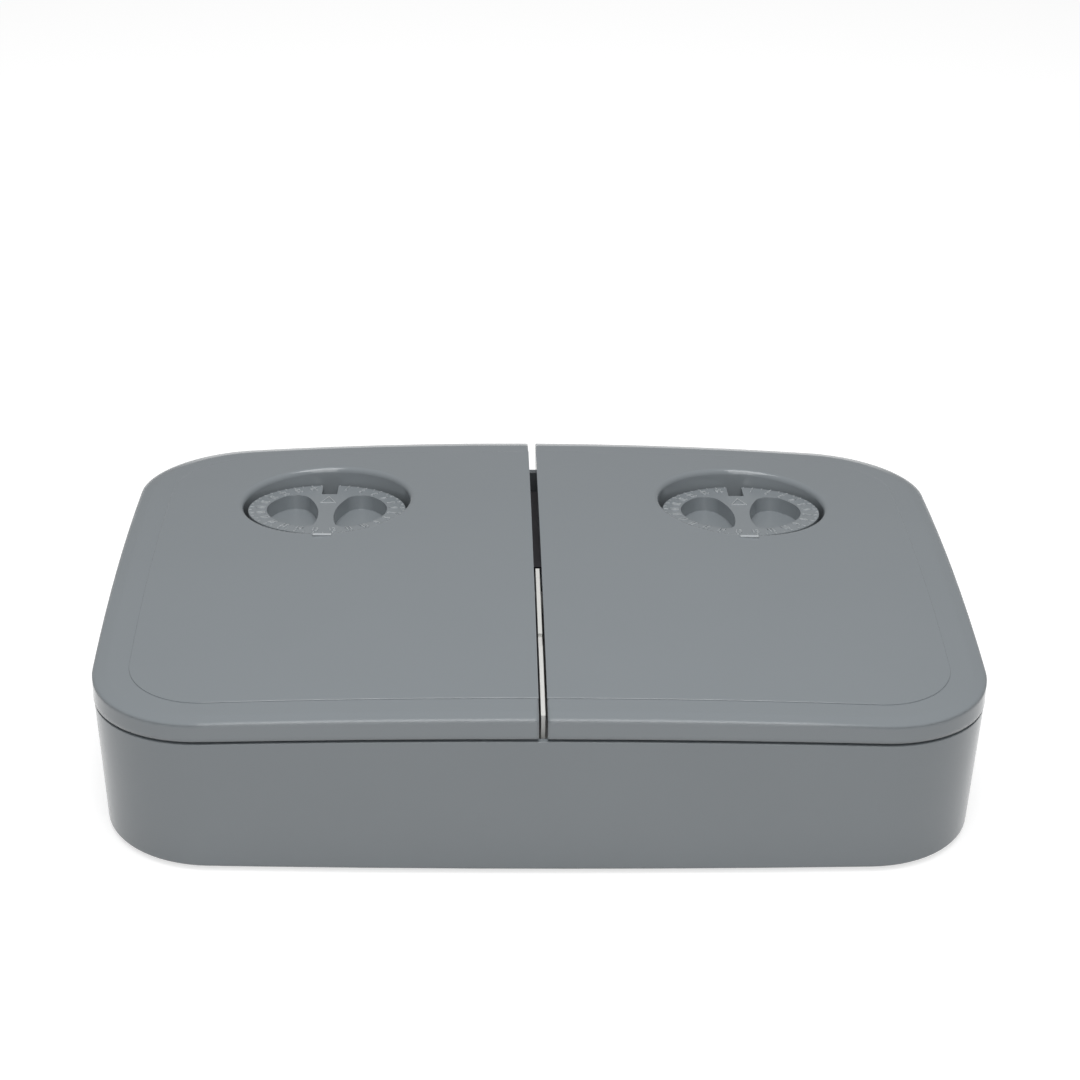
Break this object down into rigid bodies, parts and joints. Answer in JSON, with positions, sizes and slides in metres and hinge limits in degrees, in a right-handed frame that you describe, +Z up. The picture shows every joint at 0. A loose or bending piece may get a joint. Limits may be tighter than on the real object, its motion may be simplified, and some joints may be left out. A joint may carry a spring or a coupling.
{
  "type": "two-meal pet feeder",
  "caption": "Low two-bowl pet feeder with a pair of domed spring lids, each released by its own clockwork-style battery timer dial.",
  "frame": {"origin": "under the middle of the feeder, at the height of the feet's lower faces", "axes": "+X to the right as its user faces the bowls, along the feeder's length; +Y from the bowls to the hinges; +Z up"},
  "size_m": [0.32, 0.242, 0.0666],
  "materials": {
    "grey_shell": "semi-gloss moulded ABS",
    "grey_base": "semi-gloss moulded ABS",
    "tray_plastic": "pale smooth polypropylene",
    "deck_plastic": "dark fine-textured ABS",
    "dial_plastic": "semi-gloss moulded ABS",
    "gear_acetal": "natural white acetal",
    "timer_plastic": "black moulded ABS",
    "magnet_ferrite": "moulded ferrite",
    "soft_iron": "stamped sheet",
    "copper_winding": "enamelled copper wire",
    "steel_pin": "drawn wire",
    "spring_steel": "drawn wire",
    "screw_steel": "zinc-plated",
    "board_laminate": "solder mask",
    "chip_epoxy": "moulded epoxy",
    "cell_label": "printed sleeve",
    "contact_nickel": "nickel-plated strip",
    "foot_rubber": "matt rubber"
  },
  "bodies": {
    "base": {"base_shell": "grey_base", "food_tray": "tray_plastic", "timer_deck": "deck_plastic", "deck_screws": "screw_steel", "hinge_pins": "steel_pin", "lid_spring_left": "spring_steel", "lid_spring_right": "spring_steel", "timer_screws": "screw_steel", "coil_pins": "steel_pin", "circuit_board": "board_laminate", "clock_chip": "chip_epoxy", "quartz_crystal": "steel_pin", "board_screws": "screw_steel", "battery_cell": "cell_label", "plain_contact": "contact_nickel", "spring_contact": "contact_nickel", "rubber_feet": "foot_rubber", "stator_left": "soft_iron", "coil_left": "copper_winding", "train_bridge_left": "timer_plastic", "timer_case_left": "timer_plastic", "timer_cover_left": "timer_plastic", "stator_right": "soft_iron", "coil_right": "copper_winding", "train_bridge_right": "timer_plastic", "timer_case_right": "timer_plastic", "timer_cover_right": "timer_plastic"},
    "lid_left": {"lid_left": "grey_shell"},
    "dial_left": {"dial_left": "dial_plastic", "dial_wheel_left": "gear_acetal"},
    "third_wheel_left": {"third_wheel_left": "gear_acetal"},
    "second_wheel_left": {"second_wheel_left": "gear_acetal"},
    "rotor_left": {"rotor_left": "magnet_ferrite"},
    "lid_right": {"lid_right": "grey_shell"},
    "dial_right": {"dial_right": "dial_plastic", "dial_wheel_right": "gear_acetal"},
    "third_wheel_right": {"third_wheel_right": "gear_acetal"},
    "second_wheel_right": {"second_wheel_right": "gear_acetal"},
    "rotor_right": {"rotor_right": "magnet_ferrite"},
    "battery_door": {"battery_door": "grey_base"}
  },
  "joints": [
    {"name": "lid_left_hinge", "type": "hinge", "parent": "base", "child": "lid_left", "pos_m": [0, 0.1176, 0.0498], "axis": [-1, 0, 0], "range_deg": [0, 95]},
    {"name": "dial_left_turn", "type": "hinge", "parent": "base", "child": "dial_left", "pos_m": [-0.083, 0.057, 0.0575], "axis": [0, 0.1392, 0.9903], "continuous": true},
    {"name": "third_wheel_left_turn", "type": "hinge", "parent": "base", "child": "third_wheel_left", "pos_m": [-0.0592, 0.05463, 0.04066], "axis": [0, 0.1392, 0.9903], "continuous": true},
    {"name": "second_wheel_left_turn", "type": "hinge", "parent": "base", "child": "second_wheel_left", "pos_m": [-0.0682, 0.04401, 0.04216], "axis": [0, 0.1392, 0.9903], "continuous": true},
    {"name": "rotor_left_turn", "type": "hinge", "parent": "base", "child": "rotor_left", "pos_m": [-0.07398, 0.03642, 0.04322], "axis": [0, 0.1392, 0.9903], "continuous": true},
    {"name": "lid_right_hinge", "type": "hinge", "parent": "base", "child": "lid_right", "pos_m": [0, 0.1176, 0.0498], "axis": [-1, 0, 0], "range_deg": [0, 95]},
    {"name": "dial_right_turn", "type": "hinge", "parent": "base", "child": "dial_right", "pos_m": [0.083, 0.057, 0.0575], "axis": [0, 0.1392, 0.9903], "continuous": true},
    {"name": "third_wheel_right_turn", "type": "hinge", "parent": "base", "child": "third_wheel_right", "pos_m": [0.0592, 0.05463, 0.04066], "axis": [0, 0.1392, 0.9903], "continuous": true},
    {"name": "second_wheel_right_turn", "type": "hinge", "parent": "base", "child": "second_wheel_right", "pos_m": [0.0682, 0.04401, 0.04216], "axis": [0, 0.1392, 0.9903], "continuous": true},
    {"name": "rotor_right_turn", "type": "hinge", "parent": "base", "child": "rotor_right", "pos_m": [0.07398, 0.03642, 0.04322], "axis": [0, 0.1392, 0.9903], "continuous": true},
    {"name": "battery_door_slide", "type": "slide", "parent": "base", "child": "battery_door", "axis": [0, 0, -1], "range_m": [0, 0.02]}
  ],
  "couplings": [
    {"joint": "third_wheel_left_turn", "follows": "dial_left_turn", "ratio": -7.5},
    {"joint": "second_wheel_left_turn", "follows": "dial_left_turn", "ratio": 45},
    {"joint": "rotor_left_turn", "follows": "dial_left_turn", "ratio": -225},
    {"joint": "third_wheel_right_turn", "follows": "dial_right_turn", "ratio": -7.5},
    {"joint": "second_wheel_right_turn", "follows": "dial_right_turn", "ratio": 45},
    {"joint": "rotor_right_turn", "follows": "dial_right_turn", "ratio": -225}
  ]
}
